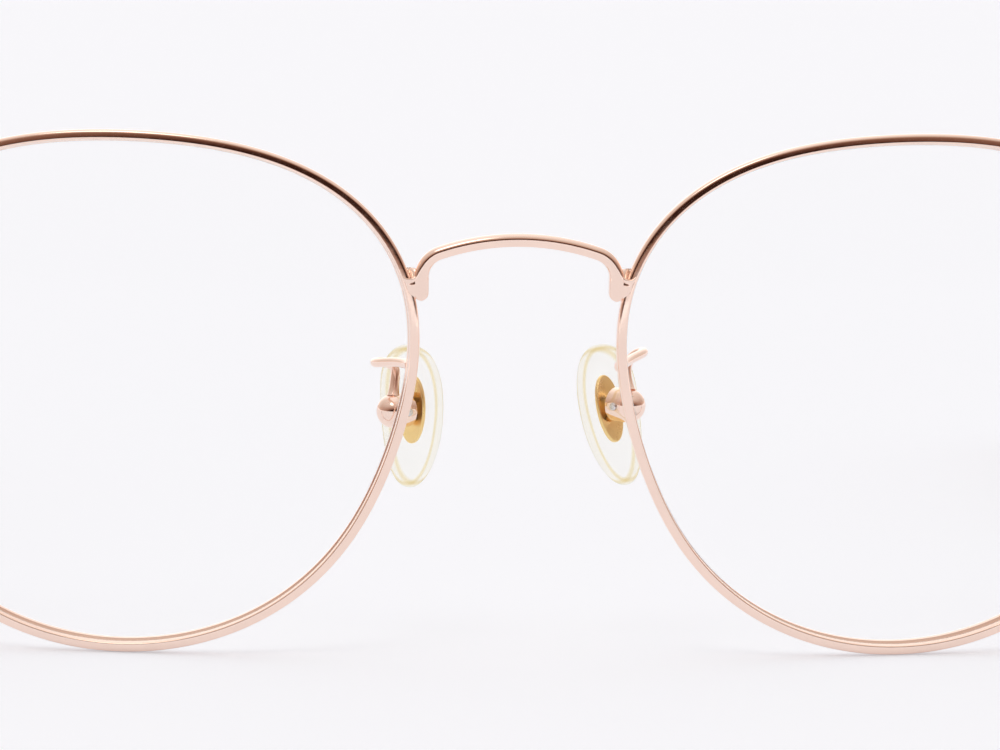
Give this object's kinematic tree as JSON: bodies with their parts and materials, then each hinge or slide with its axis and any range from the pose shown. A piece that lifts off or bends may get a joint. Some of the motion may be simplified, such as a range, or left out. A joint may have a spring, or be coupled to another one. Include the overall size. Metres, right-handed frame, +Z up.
{
  "type": "eyeglasses",
  "caption": "Round metal eyeglasses with thin rims, clear lenses, an arched wire bridge, adjustable nose pads and folding temples with plastic tips.",
  "frame": {"origin": "middle of the glasses' box, on the surface that they stand on", "axes": "+X to the wearer's left, -Y out of the front of the lenses, +Y along the open temples, +Z up"},
  "size_m": [0.1406, 0.152, 0.0475],
  "materials": {
    "rose_gold_metal": "polished rose-gold plating over metal",
    "lens_plastic": "clear, polished, coated",
    "clear_silicone": "clear silicone, faintly yellow at the edges",
    "gold_plate": "gold-plated stamping",
    "screw_steel": "turned steel",
    "tip_acetate": "glossy translucent brown plastic"
  },
  "bodies": {
    "front": {"rim_left": "rose_gold_metal", "rim_right": "rose_gold_metal", "lens_left": "lens_plastic", "lens_right": "lens_plastic", "bridge": "rose_gold_metal", "pad_arm_left": "rose_gold_metal", "pad_arm_right": "rose_gold_metal", "pad_box_left": "rose_gold_metal", "pad_box_right": "rose_gold_metal", "pad_screw_left": "screw_steel", "pad_screw_right": "screw_steel", "rim_lock_upper_left": "rose_gold_metal", "rim_lock_upper_right": "rose_gold_metal", "rim_lock_lower_left": "rose_gold_metal", "rim_lock_lower_right": "rose_gold_metal", "rim_lock_screw_left": "screw_steel", "rim_lock_screw_right": "screw_steel", "end_piece_left": "rose_gold_metal", "end_piece_right": "rose_gold_metal", "hinge_front_leaf_left": "rose_gold_metal", "hinge_front_leaf_right": "rose_gold_metal", "hinge_screw_left": "screw_steel", "hinge_screw_right": "screw_steel"},
    "temple_left_body": {"temple_left": "rose_gold_metal", "temple_tip_left": "tip_acetate", "hinge_temple_leaf_left": "rose_gold_metal"},
    "temple_right_body": {"temple_right": "rose_gold_metal", "temple_tip_right": "tip_acetate", "hinge_temple_leaf_right": "rose_gold_metal"},
    "nose_pad_left_body": {"pad_insert_left": "gold_plate", "nose_pad_left": "clear_silicone"},
    "nose_pad_right_body": {"pad_insert_right": "gold_plate", "nose_pad_right": "clear_silicone"}
  },
  "joints": [
    {"name": "temple_left_fold", "type": "hinge", "parent": "front", "child": "temple_left_body", "pos_m": [0.06655, -0.05865, 0.03103], "axis": [0, 0, 1], "range_deg": [0, 90]},
    {"name": "temple_right_fold", "type": "hinge", "parent": "front", "child": "temple_right_body", "pos_m": [-0.06655, -0.05865, 0.03103], "axis": [0, 0, -1], "range_deg": [0, 84]},
    {"name": "nose_pad_left_rock", "type": "hinge", "parent": "front", "child": "nose_pad_left_body", "pos_m": [0.01055, -0.06692, 0.02208], "axis": [0.7071, 0.7071, 0], "range_deg": [-8, 8]},
    {"name": "nose_pad_right_rock", "type": "hinge", "parent": "front", "child": "nose_pad_right_body", "pos_m": [-0.01, -0.06692, 0.02148], "axis": [-0.6157, 0.788, 0], "range_deg": [-8, 8]}
  ]
}
